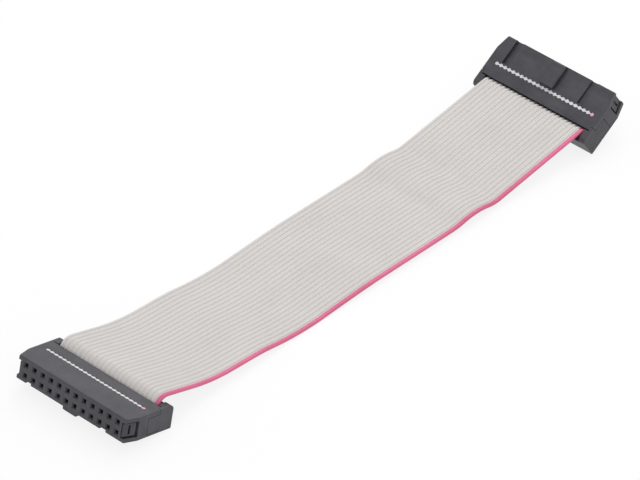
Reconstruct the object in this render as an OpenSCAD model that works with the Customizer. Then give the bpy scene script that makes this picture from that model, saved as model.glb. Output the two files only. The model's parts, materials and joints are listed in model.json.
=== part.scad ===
/* [Cable] */
// Length of the wires from one cut end to the other
cable_l = 164; // [150:1:600]
// Number of wires, always even
wires = 24; // [10:2:40]
// Distance from one wire to the next
wire_pitch = 1.27; // [1.2:0.01:1.35]
// Diameter of one insulated wire, across the corners of its ridge
wire_d = 0.9; // [0.8:0.01:1.0]
// Width of the flat along the top of each ridge
crest_w = 0.36; // [0.2:0.02:0.5]
// Thickness of the web that bonds neighbouring wires
web_t = 0.34; // [0.2:0.01:0.4]

/* [Socket] */
// Thickness of the socket across its two rows of holes
socket_t = 5.8; // [5.6:0.1:6.6]
// Distance from the wires to the mating face
mating_depth = 7.05; // [6.6:0.05:8]
// Plastic beyond the last wire at each end
end_land = 1.86; // [1.7:0.02:2.6]
// Taper of each end towards the mating face
end_taper = 0.9; // [0.4:0.1:1.1]
// Length of that taper along the mating direction
taper_run = 3.6; // [2:0.1:5]
// Chamfer along the mating face's long edges
mating_chamfer = 0.25; // [0.1:0.05:0.5]
// Pitch of the pin holes and of their two rows
hole_pitch = 2.54; // [2.4:0.02:2.7]
// Width of a square pin hole
hole_w = 0.9; // [0.75:0.05:1.1]
// Width of the lead-in at the mouth of a pin hole
lead_in_w = 1.4; // [1.2:0.05:1.7]
// Depth of that lead-in
lead_in_depth = 0.35; // [0.2:0.05:0.6]
// Thickness of the wall between the mating face and the contact cavities
front_wall = 1.0; // [0.7:0.05:1.4]
// Thickness of the floor between the wires and the contact cavities
floor_t = 1.2; // [1.1:0.05:1.6]
// Width of a contact cavity along the row
cavity_w = 1.7; // [1.5:0.05:2]
// Height of a contact cavity across the rows
cavity_h = 1.3; // [1.1:0.05:1.6]

/* [Polarising key] */
// Width of the key on the side of the socket
key_w = 4.0; // [2:0.1:4.5]
// Height of the key above the shallow relief beside it
key_h = 1.2; // [0.5:0.1:1.6]
// Distance of the key's nose from the mating face
key_setback = 0.2; // [0.1:0.1:2.5]
// Distance of the key's heel from the wires
key_heel = 0.75; // [0.6:0.05:1.5]
// Chamfer on the key's nose and along its two upper edges
key_chamfer = 0.4; // [0.1:0.1:0.5]
// Width of each side groove
groove_w = 1.8; // [1:0.1:2.2]
// Depth of each side groove
groove_depth = 0.75; // [0.4:0.05:0.8]
// Depth of the shallow relief between the grooves
relief_depth = 0.25; // [0.1:0.05:0.4]

/* [Cover and strain relief] */
// Thickness of the cover, from the wires it presses to the wires behind it
cover_t = 3.0; // [2.4:0.1:3.6]
// Radius of the two edges that the ribbon folds around
nose_r = 0.75; // [0.6:0.05:1.1]
// How far the fold of the ribbon stands proud of the socket's side
fold_proud = 0.2; // [0:0.05:0.4]
// Thickness of the strain relief's bar
bar_t = 2.4; // [1.8:0.1:3]
// Rounding of the bar's edge that the ribbon bends over
bar_round = 1.0; // [0.6:0.1:1.2]
// Distance of the bar's top below the socket's side
bar_drop = 1.0; // [0.8:0.1:1.6]
// Gap between the cover and the strain relief's end blocks
block_gap = 0.3; // [0.1:0.05:0.5]
// Rounding of the end blocks' back corners
block_round = 1.2; // [0.4:0.1:1.4]
// Thickness of the strain relief's arms
arm_t = 0.75; // [0.6:0.05:0.9]
// Reach of the arms' full-height roots over the cover's back
root_reach = 0.7; // [0.3:0.1:1.2]
// Distance of the arms' upper edge below the socket's side
arm_drop = 1.3; // [0.8:0.1:1.8]
// Distance of the arms' lower edge above the socket's other side
arm_lift = 0.6; // [0.3:0.1:1.2]
// Reach of the arms past the wires
arm_reach = 0.6; // [0.5:0.1:1.2]
// Parting gap round each arm
arm_gap = 0.1; // [0.02:0.01:0.2]
// Depth of the barb on each arm
barb_depth = 0.3; // [0.2:0.05:0.4]
// Clearance between moulded pieces that slide together
fit_gap = 0.02; // [0.01:0.01:0.04]

/* [Latches] */
// Plastic left between the last fork of a row and the latch leg
leg_wall = 0.1; // [0.1:0.01:0.15]
// Thickness of the cover's latch legs
leg_t = 0.5; // [0.4:0.05:0.5]
// Width of the latch legs
leg_w = 3.1; // [2:0.1:3.2]
// Distance of the legs' tips from the mating face
leg_setback = 0.15; // [0.1:0.05:0.6]
// Length of the hook on a latch leg
hook_l = 2.9; // [1:0.1:3]
// Height of the hook's catch on the outer side of its leg
hook_h = 0.65; // [0.3:0.05:0.7]
// Thickness of the leg at its tip
tip_t = 0.25; // [0.2:0.05:0.4]
// Width of the upright slot in the hook's face
hook_slot_w = 0.5; // [0.2:0.05:0.7]
// Height of that slot
hook_slot_h = 2.2; // [1:0.1:2.4]
// Height of the open window that shows the hook
window_h = 3.8; // [3.6:0.1:4.4]
// Length of that window, from the mating face
window_l = 3.5; // [3.3:0.1:3.9]
// Gap at the inner side of the hook, inside the window
window_gap = 0.12; // [0.05:0.01:0.15]

/* [Contacts] */
// Thickness of the contact metal
contact_t = 0.25; // [0.2:0.01:0.3]
// Width of one pointed tine of the fork
tine_w = 0.27; // [0.2:0.01:0.3]
// Depth of the fork's slot past the middle of its wire
fork_depth = 0.8; // [0.6:0.05:0.9]
// Length of the strap that carries the leaves, inside the cavity
strap_l = 0.9; // [0.7:0.1:1.2]
// Thickness of a spring leaf
leaf_t = 0.18; // [0.14:0.01:0.2]
// Width of the spring leaves across the pin
leaf_w = 0.8; // [0.6:0.05:1.0]
// Gap between the leaves where they grip the pin
grip_gap = 0.5; // [0.4:0.02:0.6]
// Gap between the leaves at their roots
root_gap = 0.9; // [0.8:0.05:1.0]
// Distance from the front wall to the place where the leaves grip
grip_depth = 1.2; // [0.9:0.1:1.6]
// Distance from the front wall to the tips of the leaves
leaf_tip_gap = 0.3; // [0.1:0.1:0.5]

/* [How it lies] */
// Backward tilt of the near socket, in degrees
near_tilt = 13.3; // [5:0.1:30]
// Backward tilt of the far socket, in degrees
far_tilt = 33.2; // [5:0.1:45]
// Bend radius where the ribbon leaves the near socket
near_bend_r = 3.0; // [2:0.1:3.4]
// Bend radius where the ribbon enters the far socket
far_bend_r = 1.5; // [1.4:0.1:2.2]
// Straight run past the rounding of the near socket's bar, before that bend
near_lead = 0.2; // [0.2:0.1:2]
// Straight run past the rounding of the far socket's bar
far_lead = 0.5; // [0.4:0.1:2]
// Slope at which the ribbon falls from the near socket, in degrees
fall_slope = 17; // [12:1:26]
// Slope at which it rises to the far socket, in degrees
rise_slope = 9; // [6:1:16]

/* [Hidden] */
$fn = 48;
columns = wires / 2;
ends = ["near", "far"];

grey = [0.80, 0.79, 0.77];
pink = [0.88, 0.30, 0.52];
charcoal = [0.24, 0.24, 0.25];
brass = [0.80, 0.70, 0.42];
overcut = 1;

// Ribbon section: x across the ribbon, y off its middle
ribbon_w = wires * wire_pitch;
function wire_x(w) = (w - (wires + 1) / 2) * wire_pitch;
crest_half = crest_w / 2;
wire_r = wire_d / 2;
crest_y = sqrt(wire_r * wire_r - crest_half * crest_half);

// Socket frame: x along the rows, y out of the mating face, z to the side with the key.
// The wires' cut ends stand in the plane y = 0. The cover and the strain relief are drawn
// with z to the side where the cable leaves.
half_t = socket_t / 2;
half_l = ribbon_w / 2 + end_land;
wire_room = wire_r + fit_gap;
wrap_r = nose_r + wire_room;
nose_z = wrap_r + wire_r - half_t - fold_proud;
nose_y = -wire_room;
cover_back = nose_y - cover_t;
leg_y = cover_back - wire_room;
bar_front = leg_y - wire_room;
bar_back = bar_front - bar_t;
bar_top = half_t - bar_drop;
cheek_x = ribbon_w / 2 + 2 * fit_gap;
arm_x = half_l - arm_t;
arm_top = half_t - arm_drop;
arm_foot = arm_lift - half_t;
row_z = hole_pitch / 2;
wire_offset = wire_pitch / 2;
leg_x = ribbon_w / 2 + tine_w / 2 + leg_wall + 2 * fit_gap;
hook_x = leg_x + leg_t;
leg_l = mating_depth - leg_setback;
hook_y = leg_l - hook_l;
window_y = mating_depth - window_l;
strap_y = floor_t + fit_gap;
leaf_y = strap_y + strap_l;
fork_end = strap_y + strap_l / 2;

function column_x(c) = (c - (columns + 1) / 2) * hole_pitch;
key_x = column_x(floor(columns / 2)) + hole_pitch / 2;
side_grooves = [column_x(1) + hole_pitch / 2, column_x(columns - 1) - hole_pitch / 2];
rows = [-1, 1];

// Route of the ribbon's middle, seen along the wires' row. A step is a line, [length, 0], or an
// arc, [radius, turn], and a turn to the left is positive. A pose is [y, z, heading].
function move(p, s) = s[1] == 0
    ? [p[0] + s[0] * cos(p[2]), p[1] + s[0] * sin(p[2]), p[2]]
    : let (side = sign(s[1]), h = p[2] + s[1])
      [p[0] + side * s[0] * (sin(h) - sin(p[2])), p[1] - side * s[0] * (cos(h) - cos(p[2])), h];
function last(list) = list[len(list) - 1];
function run_length(s) = s[1] == 0 ? s[0] : s[0] * abs(s[1]) * PI / 180;
function length_of(steps, i = 0) = i == len(steps) ? 0 : run_length(steps[i]) + length_of(steps, i + 1);

// Stations along the route: a tight arc is cut into coarser steps than a gentle one
tight_r = 6;
tight_step = 30;
gentle_step = 12;
function cuts(s) = s[1] == 0 ? 1 : ceil(abs(s[1]) / (s[0] < tight_r ? tight_step : gentle_step));
function share(s, f) = s[1] == 0 ? [s[0] * f, 0] : [s[0], s[1] * f];
function stations(p, steps, i = 0) = i == len(steps) ? [p] : concat(
    [for (k = [0:cuts(steps[i]) - 1]) k == 0 ? p : move(p, share(steps[i], k / cuts(steps[i])))],
    stations(move(p, steps[i]), steps, i + 1)
);

slot_run = half_t - nose_z;
wrap_steps = [[wrap_r, 90], [cover_t - 2 * nose_r, 0], [wrap_r, 90]];
near_leg = bar_top - bar_round + near_lead - nose_z;
far_leg = bar_top - bar_round + far_lead - nose_z;
near_axis_z = half_t * cos(near_tilt) - bar_back * sin(near_tilt);
far_axis_z = half_t * cos(far_tilt) - bar_back * sin(far_tilt);

near_start = [half_t * sin(near_tilt), near_axis_z + half_t * cos(near_tilt), -90 - near_tilt];
near_steps = concat(
    [[slot_run, 0]], wrap_steps, [[near_leg, 0], [near_bend_r, near_tilt - 90 - fall_slope]]
);
settle_steps = [[50, fall_slope - 3], [7, 0], [50, -6], [80, 9]];
swell_steps = [[50, 3], [10, 0], [200, -3]];
ripple_steps = [[18, 12], [20, -24], [10, 12 + rise_slope]];
far_steps = concat(
    [[far_bend_r, far_tilt - 90 - rise_slope], [far_leg, 0]], wrap_steps, [[slot_run, 0]]
);

// The fall is as long as it takes to lay the ribbon on the table, and the rise to reach the
// socket. What is left of the cable's length lies level between them.
crest = last(stations(near_start, near_steps));
settle_drop = last(stations([0, 0, -fall_slope], settle_steps))[1];
fall_run = (crest[1] + settle_drop - crest_y) / sin(fall_slope);
approach = concat(near_steps, [[fall_run, 0]], settle_steps, swell_steps);
before_rise = last(stations(near_start, concat(approach, ripple_steps)));
far_gain = last(stations([0, 0, rise_slope], far_steps))[1];
far_end_z = far_axis_z + half_t * cos(far_tilt);
rise_run = (far_end_z - before_rise[1] - far_gain) / sin(rise_slope);
departure = concat(ripple_steps, [[rise_run, 0]], far_steps);
level_run = cable_l - length_of(approach) - length_of(departure);
free_rings = stations(near_start, concat(approach, [[level_run, 0]], departure));
far_axis_y = last(free_rings)[0] + half_t * sin(far_tilt);

// The origin is on the table, under the middle of the whole cable
function foremost(tilt) = max(
    mating_depth * cos(tilt) + (half_t - mating_chamfer) * sin(tilt),
    (mating_depth - mating_chamfer) * cos(tilt) + half_t * sin(tilt)
);
middle_y = (far_axis_y + foremost(far_tilt) - foremost(near_tilt)) / 2;
rings = [for (p = free_rings) [p[0] - middle_y, p[1], p[2]]];

module at_near() {
    translate([0, -middle_y, near_axis_z]) rotate([180 - near_tilt, 0, 0]) children();
}

module at_far() {
    translate([0, far_axis_y - middle_y, far_axis_z]) rotate([far_tilt, 0, 0]) children();
}

// Upper half of the ribbon's outline from one wire to another, grown for the slot that holds it
function ridge(w, grow) = [
    [wire_x(w) - crest_half - grow, crest_y + grow], [wire_x(w) + crest_half + grow, crest_y + grow]
];
function valley(w, grow) = [[wire_x(w) + wire_pitch / 2, web_t / 2 + grow]];
function edge(w, side, grow) = [[wire_x(w) + side * (wire_r + grow), crest_half + grow]];
function upper_half(from, to, grow = 0) = concat(
    from == 1 ? edge(1, -1, grow) : valley(from - 1, grow),
    [for (w = [from:to]) for (q = concat(ridge(w, grow), w < wires ? valley(w, grow) : [])) q],
    to == wires ? edge(wires, 1, grow) : []
);
function outline(half) = concat(half, [for (i = [len(half) - 1:-1:0]) [half[i][0], -half[i][1]]]);

// A mirrored outline carried along the stations, as one solid whose ends are cut square
module sweep(half) {
    section = outline(half);
    n = len(section);
    ends_at = (len(rings) - 1) * n;
    points = [for (r = rings, q = section) [q[0], r[0] - q[1] * sin(r[2]), r[1] + q[1] * cos(r[2])]];
    walls = [for (r = [0:len(rings) - 2], i = [0:n - 1]) let (a = r * n + i, b = r * n + (i + 1) % n)
        [a, b, b + n, a + n]];
    start_cap = [for (i = [0:n / 2 - 2]) [n - 1 - i, n - 2 - i, i + 1, i]];
    end_cap = [for (q = start_cap) [for (k = [3:-1:0]) q[k] + ends_at]];
    polyhedron(points, concat(walls, start_cap, end_cap), convexity = 10);
}

module ribbon_insulation() {
    color(grey) sweep(upper_half(1, wires - 1));
}

module marker_wire_insulation() {
    color(pink) sweep(upper_half(wires, wires));
}

// Draws a profile in the plane of y and z, and carries it along x
module along_x(from, to) {
    translate([from, 0, 0]) rotate([90, 0, 90]) linear_extrude(to - from) children();
}

module block(x, y, z) {
    translate([x[0], y[0], z[0]]) cube([x[1] - x[0], y[1] - y[0], z[1] - z[0]]);
}

module at_both_ends() {
    children();
    mirror([1, 0, 0]) children();
}

// Room for the straight wires between the housing and the cover
module wire_slot() {
    translate([0, 0, -half_t - overcut]) linear_extrude(socket_t + 2 * overcut)
        polygon(outline(upper_half(1, wires, fit_gap)));
}

module housing_blank() {
    intersection() {
        linear_extrude(socket_t, center = true) polygon([
            [-half_l, 0], [half_l, 0], [half_l, mating_depth - taper_run],
            [half_l - end_taper, mating_depth], [end_taper - half_l, mating_depth],
            [-half_l, mating_depth - taper_run]
        ]);
        along_x(-half_l, half_l) polygon([
            [0, -half_t], [mating_depth - mating_chamfer, -half_t],
            [mating_depth, mating_chamfer - half_t], [mating_depth, half_t - mating_chamfer],
            [mating_depth - mating_chamfer, half_t], [0, half_t]
        ]);
    }
}

module key() {
    nose = mating_depth - key_setback;
    top = half_t + key_h - relief_depth;
    root = half_t - groove_depth;
    flank = key_w / 2;
    intersection() {
        along_x(key_x - flank, key_x + flank) polygon([
            [key_heel, root], [nose, root], [nose, top - key_chamfer],
            [nose - key_chamfer, top], [key_heel, top]
        ]);
        translate([key_x, nose, 0]) rotate([90, 0, 0]) linear_extrude(nose - key_heel) polygon([
            [-flank, root], [flank, root], [flank, top - key_chamfer], [flank - key_chamfer, top],
            [key_chamfer - flank, top], [-flank, top - key_chamfer]
        ]);
    }
}

module side_cuts() {
    out = half_t + overcut;
    run = [key_heel, mating_depth + overcut];
    for (x = side_grooves) block([x - groove_w / 2, x + groove_w / 2], run, [half_t - groove_depth, out]);
    block(side_grooves, run, [half_t - relief_depth, out]);
}

module pin_way() {
    translate([-cavity_w / 2, floor_t, -cavity_h / 2])
        cube([cavity_w, mating_depth - front_wall - floor_t, cavity_h]);
    translate([-hole_w / 2, floor_t, -hole_w / 2]) cube([hole_w, mating_depth, hole_w]);
    translate([0, mating_depth - lead_in_depth, 0]) rotate([-90, 0, 0])
        linear_extrude(lead_in_depth, scale = lead_in_w / hole_w) square(hole_w, center = true);
}

// Way through the plastic for the fork of a contact
module blade_way(row, from, to) {
    w = wire_pitch + tine_w + 2 * fit_gap;
    t = contact_t + 2 * fit_gap;
    translate([row * wire_offset - w / 2, from, -t / 2]) cube([w, to - from, t]);
}

module housing_end_cuts() {
    room_x = leg_x - fit_gap;
    block([room_x, hook_x + fit_gap], [-overcut, window_y + overcut],
        [-leg_w / 2 - fit_gap, leg_w / 2 + fit_gap]);
    block([leg_x - window_gap, half_l + overcut], [window_y, mating_depth + overcut],
        [-window_h / 2, window_h / 2]);
}

module arm_tip_room(flip) {
    low = (flip ? -arm_top : arm_foot) - arm_gap;
    high = (flip ? -arm_foot : arm_top) + arm_gap;
    block([arm_x - fit_gap, half_l + overcut], [-overcut, arm_reach + arm_gap], [low, high]);
    block([arm_x - barb_depth - fit_gap, half_l], [-overcut, arm_reach + arm_gap], [low, high]);
}

module housing(flip) {
    color(charcoal) difference() {
        union() {
            difference() {
                housing_blank();
                side_cuts();
            }
            key();
        }
        wire_slot();
        for (c = [1:columns], row = rows) translate([column_x(c), 0, row * row_z]) {
            pin_way();
            blade_way(row, -overcut, fork_end + fit_gap);
        }
        at_both_ends() {
            housing_end_cuts();
            arm_tip_room(flip);
        }
    }
}

module nose_profile() {
    flat = cover_t - 2 * nose_r;
    translate([cover_back, nose_z]) square([cover_t, half_t - nose_z]);
    translate([cover_back + nose_r, nose_z - nose_r]) square([flat, 2 * nose_r]);
    for (y = [cover_back + nose_r, nose_y - nose_r]) translate([y, nose_z]) circle(nose_r);
}

// A springy leg whose hook ramps up from a thin tip to the catch
module latch_leg() {
    slot_y = leg_l - hook_l / 2;
    difference() {
        linear_extrude(leg_w, center = true) polygon([
            [leg_x, nose_y], [hook_x, nose_y], [hook_x, hook_y], [hook_x + hook_h, hook_y],
            [leg_x + tip_t, leg_l], [leg_x, leg_l]
        ]);
        block([leg_x + leg_t / 2, hook_x + 2 * hook_h],
            [slot_y - hook_slot_w / 2, slot_y + hook_slot_w / 2], [-hook_slot_h / 2, hook_slot_h / 2]);
    }
}

module cover() {
    color(charcoal) difference() {
        union() {
            along_x(-cheek_x - fit_gap, cheek_x + fit_gap) {
                nose_profile();
                translate([nose_y, nose_z]) square([-nose_y, half_t - nose_z]);
            }
            at_both_ends() {
                block([cheek_x, half_l], [cover_back, 0], [-half_t, half_t]);
                latch_leg();
            }
        }
        wire_slot();
        at_both_ends() {
            block([arm_x - fit_gap, half_l + overcut], [cover_back - overcut, overcut],
                [arm_foot - arm_gap, arm_top + arm_gap]);
            block([arm_x - fit_gap, half_l + overcut],
                [cover_back - overcut, cover_back + root_reach + arm_gap],
                [-half_t - overcut, half_t + overcut]);
        }
    }
}

module bar_profile() {
    translate([bar_back, -half_t]) square([bar_t, bar_top + half_t - bar_round]);
    translate([bar_back, -half_t]) square([bar_t - bar_round, bar_top + half_t]);
    translate([bar_front - bar_round, bar_top - bar_round]) circle(bar_round);
}

module block_profile() {
    inner_y = bar_back + block_round;
    corner_z = half_t - block_round;
    translate([inner_y, -half_t]) square([cover_back - block_gap - inner_y, socket_t]);
    translate([bar_back, -corner_z]) square([block_round, 2 * corner_z]);
    for (z = [-corner_z, corner_z]) translate([inner_y, z]) circle(block_round);
}

module strain_relief() {
    color(charcoal) along_x(-half_l, half_l) bar_profile();
    color(charcoal) at_both_ends() {
        along_x(cheek_x + fit_gap, half_l) block_profile();
        block([arm_x, half_l], [bar_front, cover_back + root_reach], [-half_t, half_t]);
        block([arm_x, half_l], [bar_front, arm_reach], [arm_foot, arm_top]);
        block([arm_x - barb_depth, half_l], [fit_gap, arm_reach], [arm_foot, arm_top]);
    }
}

// One contact: a fork whose points reach into the valleys beside its wire, and two spring leaves
module contact(row) {
    tip_y = web_t / 2 + fit_gap;
    shoulder_y = crest_y + fit_gap;
    tip_x = wire_pitch / 2;
    inner_x = tip_x - tine_w / 2;
    outer_x = tip_x + tine_w / 2;
    root_x = root_gap / 2;
    grip_x = grip_gap / 2;
    grip_y = mating_depth - front_wall - grip_depth;
    mouth_y = mating_depth - front_wall - leaf_tip_gap;
    linear_extrude(contact_t, center = true) {
        translate([row * wire_offset, 0]) polygon([
            [-tip_x, tip_y], [-inner_x, shoulder_y], [-inner_x, fork_depth], [inner_x, fork_depth],
            [inner_x, shoulder_y], [tip_x, tip_y], [outer_x, shoulder_y], [outer_x, fork_end],
            [-outer_x, fork_end], [-outer_x, shoulder_y]
        ]);
        translate([-root_x - leaf_t, strap_y]) square([root_gap + 2 * leaf_t, strap_l]);
    }
    at_both_ends() linear_extrude(leaf_w, center = true) polygon([
        [root_x, strap_y], [root_x + leaf_t, strap_y], [root_x + leaf_t, leaf_y],
        [grip_x + leaf_t, grip_y], [root_x + leaf_t, mouth_y],
        [root_x, mouth_y], [grip_x, grip_y], [root_x, leaf_y]
    ]);
}

module contact_pair(c) {
    color(brass) for (row = rows) translate([column_x(c), 0, row * row_z]) contact(row);
}

ribbon_insulation();
marker_wire_insulation();
at_near() housing(true);  // near_housing
at_near() rotate([0, 180, 0]) cover();  // near_cover
at_near() rotate([0, 180, 0]) strain_relief();  // near_strain_relief
at_far() housing(false);  // far_housing
at_far() cover();  // far_cover
at_far() strain_relief();  // far_strain_relief
for (c = [1:columns]) {
    at_near() contact_pair(c);
    at_far() contact_pair(c);
}
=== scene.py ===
import json
import math

import bpy
from mathutils import Matrix, Vector


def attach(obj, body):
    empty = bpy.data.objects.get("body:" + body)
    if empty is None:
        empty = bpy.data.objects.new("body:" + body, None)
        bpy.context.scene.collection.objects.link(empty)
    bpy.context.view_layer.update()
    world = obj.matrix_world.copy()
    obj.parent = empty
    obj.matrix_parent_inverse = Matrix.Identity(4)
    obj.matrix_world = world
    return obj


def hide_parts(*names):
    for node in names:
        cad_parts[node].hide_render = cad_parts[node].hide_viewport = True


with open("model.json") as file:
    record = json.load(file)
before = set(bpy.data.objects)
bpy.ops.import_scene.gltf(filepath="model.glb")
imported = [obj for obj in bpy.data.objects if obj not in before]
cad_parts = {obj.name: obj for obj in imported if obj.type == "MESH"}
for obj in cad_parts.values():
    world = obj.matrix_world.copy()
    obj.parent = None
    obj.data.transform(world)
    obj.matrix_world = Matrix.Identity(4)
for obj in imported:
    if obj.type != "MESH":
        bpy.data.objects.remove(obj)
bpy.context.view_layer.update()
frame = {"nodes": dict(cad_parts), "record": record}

mm = 0.001
scene = bpy.context.scene

# the camera, at the photograph's angle; lengths are in mm
view = {
    "azimuth": 44.27,               # degrees from looking along +Y
    "elevation": 37.27,
    "roll": -0.61,
    "lens": 326.7,                  # on a sensor 36 wide
    "aim": (0, -72.443, 4.389),     # middle of the near socket, at its wires
    "offset": (48.74, 31.61, 1242.8),  # from there to the camera: right, up and back
    "clip": (50, 50000),
}


def makeCamera():
    a, e, roll = (math.radians(view[key]) for key in ("azimuth", "elevation", "roll"))
    right = Vector((math.cos(a), math.sin(a), 0))
    up = Vector((-math.sin(a) * math.sin(e), math.cos(a) * math.sin(e), math.cos(e)))
    back = right.cross(up)
    place = Vector(view["aim"])
    for axis, amount in zip((right, up, back), view["offset"]):
        place += axis * amount
    across = right * math.cos(roll) + up * math.sin(roll)
    turn = Matrix((across, back.cross(across), back)).transposed().to_4x4()
    camera = bpy.data.objects.new("camera", bpy.data.cameras.new("camera"))
    camera.data.lens = view["lens"]
    camera.data.clip_start, camera.data.clip_end = (distance * mm for distance in view["clip"])
    camera.matrix_world = Matrix.Translation(place * mm) @ turn
    scene.collection.objects.link(camera)
    scene.camera = camera


makeCamera()
print("camera ready")


class Value:                        # an output socket that can be used in sums
    def __init__(self, shader, socket):
        self.shader, self.socket = shader, socket

    def math(self, operation, a, b):
        return self.shader.add("ShaderNodeMath", {"operation": operation}, {0: a, 1: b})

    def __add__(self, other):
        return self.math("ADD", self, other)

    def __radd__(self, other):
        return self.math("ADD", other, self)

    def __sub__(self, other):
        return self.math("SUBTRACT", self, other)

    def __rsub__(self, other):
        return self.math("SUBTRACT", other, self)

    def __mul__(self, other):
        return self.math("MULTIPLY", self, other)

    def __rmul__(self, other):
        return self.math("MULTIPLY", other, self)


def tone(colour):
    return (*colour, 1)


colourMix = {"factor": 0, "a": 6, "b": 7, "result": 2}  # the Mix node's sockets for colours


class Shader:
    def __init__(self, owner):      # a material or the world
        owner.use_nodes = True
        self.owner, self.tree = owner, owner.node_tree
        self.tree.nodes.clear()

    def add(self, kind, settings=None, inputs=None, output=0):
        node = self.tree.nodes.new(kind)
        for key, value in (settings or {}).items():
            if key == "stops":
                for stop, (at, level) in zip(node.color_ramp.elements, value):
                    stop.position, stop.color = at, tone((level, level, level))
            else:
                setattr(node, key, value)
        for key, value in (inputs or {}).items():
            if isinstance(value, Value):
                self.tree.links.new(value.socket, node.inputs[key])
            else:
                node.inputs[key].default_value = value
        return Value(self, node.outputs[output]) if node.outputs else None

    def noise(self, scale, detail, rough=0.5, stretch=None):
        place = self.add("ShaderNodeTexCoord", output="Object")
        if stretch:
            place = self.add("ShaderNodeVectorMath", {"operation": "MULTIPLY"}, {0: place, 1: stretch})
        return self.add("ShaderNodeTexNoise", {}, {
            "Vector": place, "Scale": scale, "Detail": detail, "Roughness": rough})

    def blend(self, mask, spread, a, b):  # from colour a to b as the mask crosses the spread
        low, high = spread
        share = self.add("ShaderNodeValToRGB", {"stops": [(low, 0), (high, 1)]}, {"Fac": mask})
        return self.add("ShaderNodeMix", {"data_type": "RGBA"}, {
            colourMix["factor"]: share, colourMix["a"]: tone(a), colourMix["b"]: tone(b),
        }, colourMix["result"])

    def bump(self, height, strength, distance):
        return self.add("ShaderNodeBump", {}, {
            "Height": height, "Strength": strength, "Distance": distance * mm})

    def done(self, surface, output="ShaderNodeOutputMaterial"):
        self.add(output, {}, {"Surface": surface})
        return self.owner


# the finishes: a noise is its scale in features per metre, its detail, then roughness and stretch
pvc = {
    "looks": {                      # clean colour, darker colour (handled, and painted shade), roughness
        "grey_pvc": ((0.651, 0.621, 0.598), (0.619, 0.589, 0.567), 0.38),
        "pink_pvc": ((0.73, 0.145, 0.29), (0.63, 0.108, 0.232), 0.28),
        "cut_grey": ((0.78, 0.765, 0.78), (0.66, 0.645, 0.66), 0.5),
        "cut_pink": ((0.84, 0.58, 0.66), (0.70, 0.22, 0.36), 0.5),
    },
    "patches": (90, 3),             # faint broad patches: partly handling marks, partly painted shade of the sheet's gentle undulation
    "lines": (700, 3, 0.6, (1, 0.06, 0.06)),  # left along the wire by drawing it
    "grain": (2600, 2),
    "lineShare": 0.4,               # of the colour
    "lineHeight": 0.6,              # of the bump
    "spread": (0.36, 0.66),
    "dulling": 0.12,                # of the patches, added to the roughness
    "bump": (0.10, 0.05),           # strength, height in mm
    "ior": 1.5,
}


def makePvc(name, clean, handledAndShaded, rough):
    s = Shader(bpy.data.materials.new(name))
    patches, lines, grain = (s.noise(*pvc[key]) for key in ("patches", "lines", "grain"))
    # towards the darker colour in broad patches: partly handling marks, partly painted shade of the
    # ribbon's undulation
    mask = patches * (1 - pvc["lineShare"]) + lines * pvc["lineShare"]
    height = grain * (1 - pvc["lineHeight"]) + lines * pvc["lineHeight"]
    return s.done(s.add("ShaderNodeBsdfPrincipled", {}, {
        "Base Color": s.blend(mask, pvc["spread"], clean, handledAndShaded),
        "Roughness": rough + pvc["dulling"] * patches,
        "IOR": pvc["ior"],
        "Normal": s.bump(height, *pvc["bump"])}))


plastic = {
    "fresh": (0.026, 0.0245, 0.032),
    "worn": (0.058, 0.0555, 0.066),
    "mottle": (320, 4, 0.65),
    "flow": (420, 3, 0.6, (0.25, 1, 1)),  # streaks along the way that the plastic flowed
    "grain": (4200, 3, 0.6),
    "flowShare": 0.5,               # of the colour
    "spread": (0.35, 0.68),
    "rough": 0.36,
    "grainRough": 0.14,
    "flowRough": 0.06,
    "bump": (0.22, 0.05),
    "ior": 1.52,
    "edge": 0.06,                   # rounding of the mould's edges, in mm
    "edgeSteps": 2,
    "edgeAngle": 35,                # degrees, past which an edge is rounded
}


def makePlastic(name):
    s = Shader(bpy.data.materials.new(name))
    mottle, flow, grain = (s.noise(*plastic[key]) for key in ("mottle", "flow", "grain"))
    mask = mottle * (1 - plastic["flowShare"]) + flow * plastic["flowShare"]
    return s.done(s.add("ShaderNodeBsdfPrincipled", {}, {
        "Base Color": s.blend(mask, plastic["spread"], plastic["fresh"], plastic["worn"]),
        "Roughness": plastic["rough"] + plastic["grainRough"] * grain + plastic["flowRough"] * flow,
        "IOR": plastic["ior"],
        "Normal": s.bump(grain, *plastic["bump"])}))


plating = {
    "bright": (0.80, 0.66, 0.36),
    "dull": (0.66, 0.54, 0.32),
    "patches": (600, 3),
    "spread": (0, 1),
    "rough": 0.25,
    "dulling": 0.2,
}


def makePlating(name):
    s = Shader(bpy.data.materials.new(name))
    patches = s.noise(*plating["patches"])
    return s.done(s.add("ShaderNodeBsdfPrincipled", {}, {
        "Base Color": s.blend(patches, plating["spread"], plating["bright"], plating["dull"]),
        "Metallic": 1.0,
        "Roughness": plating["rough"] + plating["dulling"] * patches}))


finish = {name: makePvc(name, *look) for name, look in pvc["looks"].items()}
finish["black_plastic"] = makePlastic("black_plastic")
finish["contact_metal"] = makePlating("contact_metal")


def dressParts():
    slotOf = {part["node"]: part["material_slot"] for part in frame["record"]["subparts"]}
    for name, piece in frame["nodes"].items():
        piece.data.materials.clear()
        piece.data.materials.append(finish[slotOf[name]])
        if slotOf[name] == "black_plastic":
            soft = piece.modifiers.new("soft edges", "BEVEL")
            soft.width, soft.segments = plastic["edge"] * mm, plastic["edgeSteps"]
            soft.limit_method, soft.angle_limit = "ANGLE", math.radians(plastic["edgeAngle"])
            soft.harden_normals = True


dressParts()
print("finishes on the moulded pieces and contacts")

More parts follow.
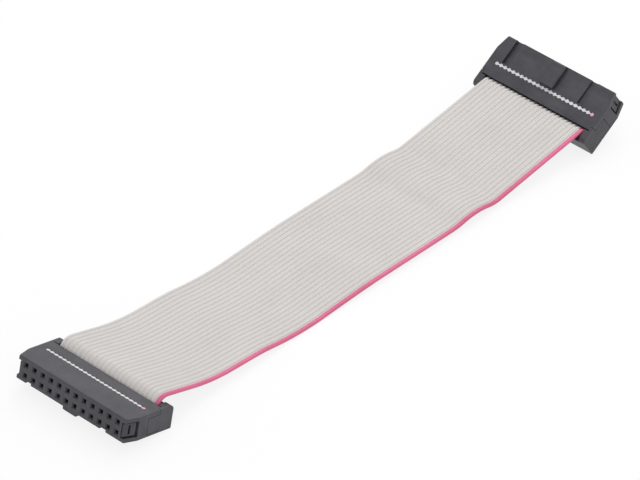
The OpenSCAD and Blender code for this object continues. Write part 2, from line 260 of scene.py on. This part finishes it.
# the ribbon: lengths are in mm, turns in degrees
ribbon = {
    "wires": 24,
    "pitch": 1.27,
    "across": 0.9,                  # one insulated wire
    "web": 0.34,                    # thickness where two wires are bonded
    "roundSteps": 10,
    "recess": 0.08,                 # depth of the cut ends below the sockets' sides
    "start": (-71.7757, 7.2111, -103.3),  # near cut end, flush with the socket, and its heading
    "route": [                      # (length, 0) is straight, (radius, turn) an arc
        (4.33, 0), (1.22, 90), (1.5, 0), (1.22, 90), (2.53, 0),     # round the near cover
        (3.0, -93.7), (7.8828, 0), (50, 14), (7, 0), (50, -6), (80, 9),  # down to the table
        (50, 3), (10, 0), (200, -3), (21.6907, 0),                  # a low swell, then level
        (18, 12), (20, -24), (10, 21), (27.1899, 0),                # a small ripple, then up
        (1.5, -65.8), (2.83, 0), (1.22, 90), (1.5, 0), (1.22, 90), (4.33, 0),  # the far cover
    ],
    "tightRadius": 6,
    "tightStep": 7,                 # turn from one section to the next in a tight arc
    "gentleStep": 1.2,
    "crease": 50,                   # turn past which an edge is left sharp
}


def walk(pose, size, turn):         # a pose is y, z and the heading
    y, z, heading = pose
    if turn == 0:
        return y + size * math.cos(heading), z + size * math.sin(heading), heading
    side, after = math.copysign(size, turn), heading + turn
    return (y + side * (math.sin(after) - math.sin(heading)),
            z - side * (math.cos(after) - math.cos(heading)), after)


def sections(spec):
    y, z, heading = spec["start"]
    pose = (y, z, math.radians(heading))
    found = [pose]
    for size, turn in spec["route"]:
        step = spec["tightStep"] if size < spec["tightRadius"] else spec["gentleStep"]
        count = max(1, math.ceil(abs(turn) / step))  # 1 for a straight
        for k in range(1, count + 1):
            found.append(walk(pose, size, math.radians(turn) * (k / count)))
        pose = found[-1]
    found[0] = walk(found[0], spec["recess"], 0)
    found[-1] = walk(found[-1], -spec["recess"], 0)
    return found


def wireOutline(spec, first, last):  # an edge wire is round on its free side
    r, half, web = spec["across"] / 2, spec["pitch"] / 2, spec["web"] / 2
    low = math.asin(web / r)
    left = math.pi if first else math.pi - low
    right = 0 if last else low
    steps = spec["roundSteps"]
    turns = [left + (right - left) * k / steps for k in range(steps + 1)]
    upper = [(r * math.cos(t), r * math.sin(t)) for t in turns]
    if not first:
        upper.insert(0, (-half, web))
    if not last:
        upper.append((half, web))
    lower = [(x, -y) for x, y in reversed(upper)]
    if last:
        lower.pop(0)                # the outermost point is already in the upper half
    if first:
        lower.pop()
    return upper + lower


def makeWire(number, spec, poses):
    first, marker = number == 1, number == spec["wires"]
    middle = (number - (spec["wires"] + 1) / 2) * spec["pitch"]
    outline = wireOutline(spec, first, marker)
    points = [((middle + u) * mm, (y - v * math.sin(h)) * mm, (z + v * math.cos(h)) * mm)
              for y, z, h in poses for u, v in outline]
    n, rows = len(outline), len(poses)
    walls = [(r * n + i, r * n + (i + 1) % n, (r + 1) * n + (i + 1) % n, (r + 1) * n + i)
             for r in range(rows - 1) for i in range(n)]
    caps = [tuple(range(n - 1, -1, -1)), tuple((rows - 1) * n + i for i in range(n))]
    name = "markerWire" if marker else f"greyWire{number:02d}"
    slot = "pink_pvc" if marker else "grey_pvc"
    mesh = bpy.data.meshes.new(name)
    mesh.from_pydata(points, [], walls + caps)
    mesh.materials.append(finish[slot])
    mesh.materials.append(finish["cut_pink" if marker else "cut_grey"])
    mesh.shade_smooth()
    mesh.set_sharp_from_angle(angle=math.radians(spec["crease"]))
    for cap in mesh.polygons[len(walls):]:
        cap.material_index, cap.use_smooth = 1, False
    piece = bpy.data.objects.new(name, mesh)
    scene.collection.objects.link(piece)
    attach(piece, "root")
    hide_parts("marker_wire_insulation" if marker else "ribbon_insulation")
    line = [(middle * mm, y * mm, z * mm) for y, z, h in poses]
    length = sum((Vector(b) - Vector(a)).length for a, b in zip(line, line[1:]))
    return length


poses = sections(ribbon)
lengths = [makeWire(number, ribbon, poses) for number in range(1, ribbon["wires"] + 1)]
print("ribbon of", len(lengths), "wires,", round(lengths[0] / mm, 2), "mm long, sections:", len(poses))

# floor, surroundings and lamps: lengths are in metres
studio = {
    "floorSize": 6.0,
    "floorShade": 0.96,
    "shadowShare": 0.16,            # how much of the floor's own shade shows, the rest is plain white
    "worldLevel": 0.71,
    "lamps": [                      # place, size, watts
        ((-0.2, 0.5, 0.85), 0.7, 3.7),
        ((0.7, -0.35, 0.75), 0.5, 0.9),
    ],
}
white = (1, 1, 1)


def seenDirectly(s):                # 1 for rays from the camera or mirrored, 0 for those that light
    total = 0
    for ray in ("Is Camera Ray", "Is Glossy Ray", "Is Transmission Ray"):
        total = s.add("ShaderNodeMath", {"operation": "ADD", "use_clamp": True}, {
            0: s.add("ShaderNodeLightPath", output=ray), 1: total})
    return total


def makeFloor():
    bpy.ops.mesh.primitive_plane_add(size=studio["floorSize"])
    floor = bpy.context.object
    floor.name = "floor"
    s = Shader(bpy.data.materials.new("paleFloor"))
    own = s.add("ShaderNodeBsdfDiffuse", {}, {"Color": tone([studio["floorShade"]] * 3)})
    plain = s.add("ShaderNodeEmission", {}, {"Color": tone(white), "Strength": 1.0})
    share = seenDirectly(s) * (1 - studio["shadowShare"])
    floor.data.materials.append(s.done(s.add("ShaderNodeMixShader", {}, {0: share, 1: own, 2: plain})))


def makeWorld():
    scene.world = scene.world or bpy.data.worlds.new("world")
    s = Shader(scene.world)
    seen = seenDirectly(s)
    level = seen + (1 - seen) * studio["worldLevel"]
    s.done(s.add("ShaderNodeBackground", {}, {"Color": tone(white), "Strength": level}),
           "ShaderNodeOutputWorld")


def makeLamps():
    for number, (place, size, watts) in enumerate(studio["lamps"]):
        light = bpy.data.lights.new(f"lamp{number}", "AREA")
        light.size, light.energy = size, watts
        lamp = bpy.data.objects.new(light.name, light)
        lamp.location = place
        lamp.rotation_mode = "QUATERNION"
        lamp.rotation_quaternion = Vector(place).to_track_quat("Z", "Y")
        scene.collection.objects.link(lamp)


makeFloor()
makeWorld()
makeLamps()
scene.view_settings.view_transform = "Standard"
print("floor, world and lamps ready")
